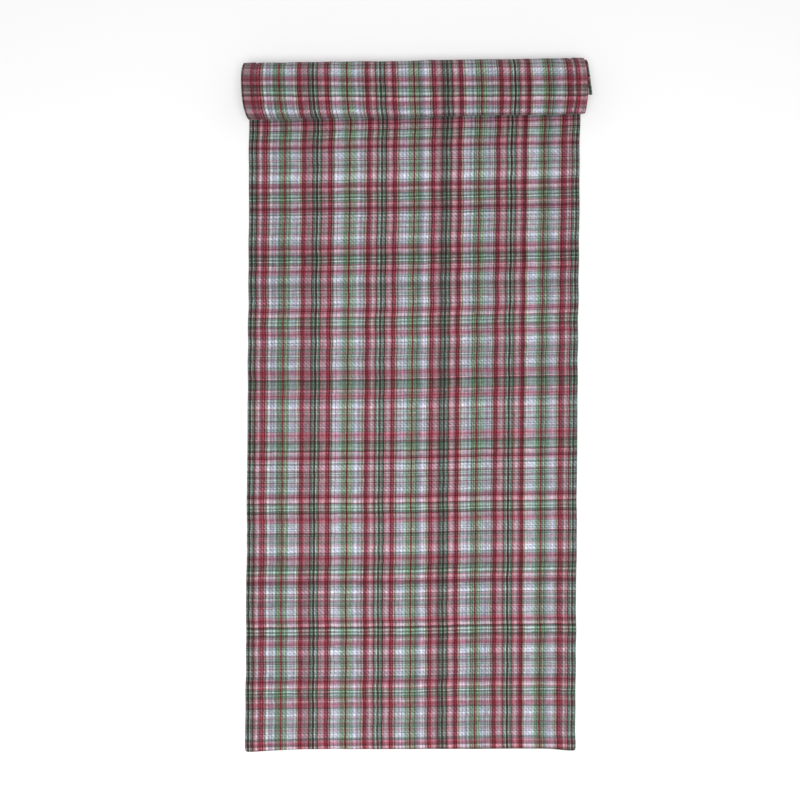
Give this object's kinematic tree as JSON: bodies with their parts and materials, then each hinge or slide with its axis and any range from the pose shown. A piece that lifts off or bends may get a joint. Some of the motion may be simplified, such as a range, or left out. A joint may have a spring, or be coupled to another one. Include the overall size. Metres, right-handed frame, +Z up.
{
  "type": "table runner",
  "caption": "Hemmed woven plaid cotton table runner, lower end laid flat and the far end rolled up on top of it in a loose open roll.",
  "frame": {"origin": "centre of the footprint at the table surface", "axes": "+Z up, +Y along the runner from the laid lower end towards the roll, +X across it to the right"},
  "size_m": [0.3302, 0.682, 0.0425],
  "materials": {
    "woven_cloth": "yarn-dyed plaid cotton in dark red, pink, green, pale lavender and black, matt, slightly crinkled",
    "folded_hem_cloth": "the same plaid cotton folded three layers thick, matt",
    "sewing_thread": "dark spun sewing thread, faint sheen"
  },
  "bodies": {
    "root": {"laid_panel": "woven_cloth", "rolled_panel": "woven_cloth", "laid_left_hem": "folded_hem_cloth", "rolled_left_hem": "folded_hem_cloth", "laid_right_hem": "folded_hem_cloth", "rolled_right_hem": "folded_hem_cloth", "lower_end_hem": "folded_hem_cloth", "inner_end_hem": "folded_hem_cloth", "left_hem_seam": "sewing_thread", "right_hem_seam": "sewing_thread", "lower_end_seam": "sewing_thread", "inner_end_seam": "sewing_thread"}
  },
  "joints": []
}
